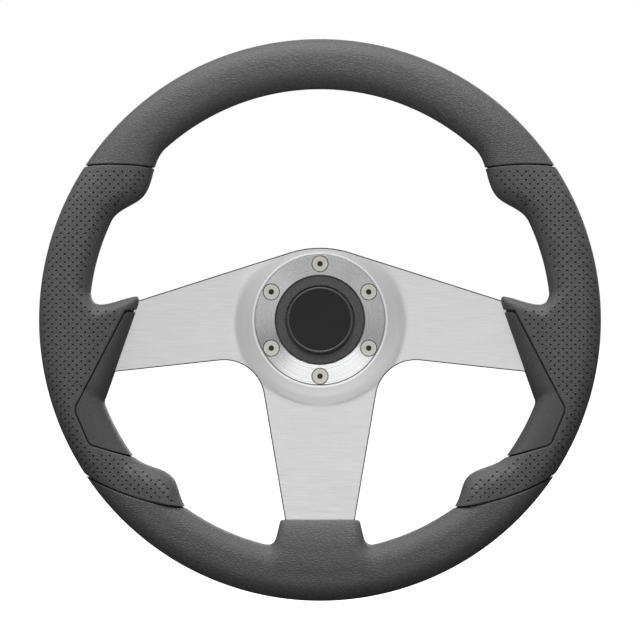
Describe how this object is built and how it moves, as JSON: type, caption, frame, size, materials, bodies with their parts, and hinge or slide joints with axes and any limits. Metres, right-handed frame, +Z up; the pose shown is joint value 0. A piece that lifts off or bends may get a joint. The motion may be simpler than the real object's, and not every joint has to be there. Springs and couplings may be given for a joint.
{
  "type": "boat steering wheel",
  "caption": "Three-spoke boat steering wheel: moulded foam grips over a steel rim core, dished brushed aluminium spoke plate, screwed clamp ring, tapered hub and snap-in centre cap.",
  "frame": {"origin": "on the wheel's axis at the hub's rear face, the large end of the tapered bore", "axes": "+Y along the wheel's axis, away from the driver towards the helm; +Z up towards the top of the rim with the wheel straight ahead; +X to the driver's right"},
  "size_m": [0.35, 0.0591, 0.35],
  "materials": {
    "foam": "leather-grained moulded polyurethane foam",
    "foam_insert": "smooth satin moulded polyurethane",
    "steel_core": "bare drawn steel",
    "spoke_aluminium": "brushed and clear anodised",
    "hub_aluminium": "turned and anodised",
    "ring_aluminium": "satin turned and clear anodised",
    "stainless": "plain machined stainless steel",
    "cap_plastic": "moulded with a fine leather grain",
    "cap_black": "satin black",
    "seal_rubber": "smooth nitrile rubber"
  },
  "bodies": {
    "wheel": {"rim_core": "steel_core", "rim_lug_right": "steel_core", "rim_lug_left": "steel_core", "rim_lug_bottom": "steel_core", "spoke_plate": "spoke_aluminium", "spoke_rivets": "stainless", "grip_top": "foam", "grip_right": "foam", "grip_left": "foam", "grip_bottom": "foam", "insert_right": "foam_insert", "insert_left": "foam_insert", "hub_body": "hub_aluminium", "clamp_ring": "ring_aluminium", "clamp_screws": "stainless"},
    "cap": {"cap_housing": "cap_plastic", "cap_disc": "cap_black", "cap_retaining_ring": "seal_rubber"}
  },
  "joints": [
    {"name": "cap_pull", "type": "slide", "parent": "wheel", "child": "cap", "axis": [0, -1, 0], "range_m": [0, 0.03]}
  ]
}
